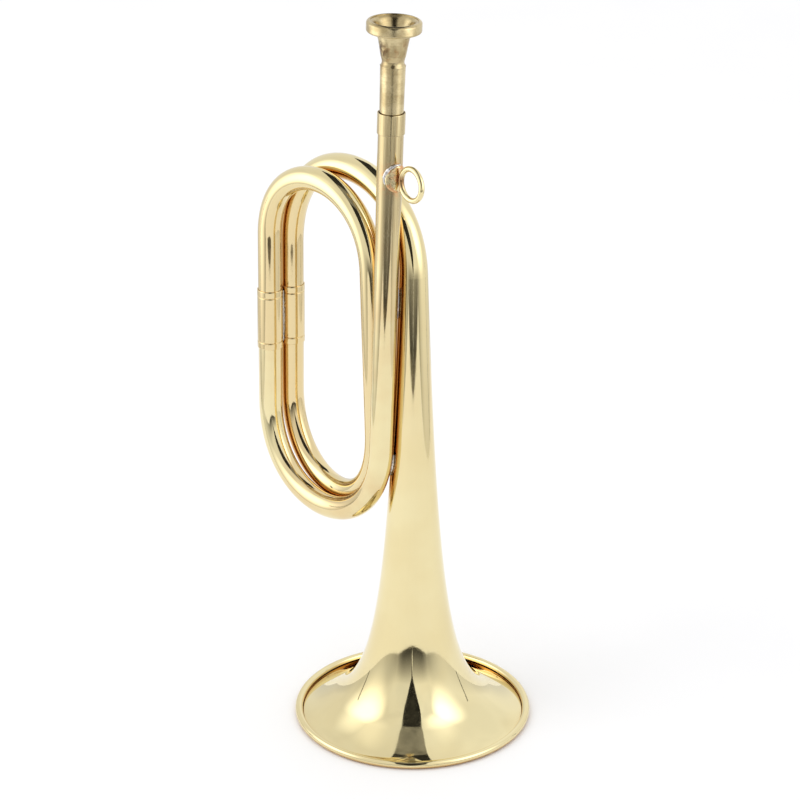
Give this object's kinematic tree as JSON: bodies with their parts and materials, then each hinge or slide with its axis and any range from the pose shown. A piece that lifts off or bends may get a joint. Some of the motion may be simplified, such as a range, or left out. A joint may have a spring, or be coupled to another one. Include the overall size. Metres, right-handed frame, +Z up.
{
  "type": "bugle",
  "caption": "Valveless brass bugle with a double-wound tube, removable mouthpiece, strap ring and flared bell, standing on its bell",
  "frame": {"origin": "middle of the overall footprint, on the plane the bell's rim stands on", "axes": "+Z is up the bell's axis, from the rim to the mouthpiece. +X is to the right seen from the front, with the strap ring at the front right and the loop at the back left. +Y points away from the front."},
  "size_m": [0.143, 0.1302, 0.3769],
  "materials": {
    "lacquered_brass": "polished, clear gold lacquer",
    "leadpipe_brass": "polished, lacquer a little dulled",
    "turned_brass": "satin, fine turning marks",
    "brazed_brass": "reddened by brazing heat",
    "silver_solder": "satin, uneven"
  },
  "bodies": {
    "bugle": {"mouthpiece_receiver": "leadpipe_brass", "leadpipe": "leadpipe_brass", "front_ferrule": "lacquered_brass", "middle_tube": "lacquered_brass", "back_ferrule": "lacquered_brass", "bell_bow": "lacquered_brass", "bell": "lacquered_brass", "rim_wire": "leadpipe_brass", "ring_saddle": "brazed_brass", "strap_ring": "lacquered_brass", "ring_solder": "silver_solder", "ferrule_solder": "silver_solder", "bell_joint_solder": "silver_solder", "upper_joint_solder": "silver_solder"},
    "mouthpiece": {"mouthpiece": "turned_brass"}
  },
  "joints": [
    {"name": "mouthpiece_slide", "type": "slide", "parent": "bugle", "child": "mouthpiece", "axis": [0.0312, 0, 0.9995], "range_m": [0, 0.035]}
  ]
}
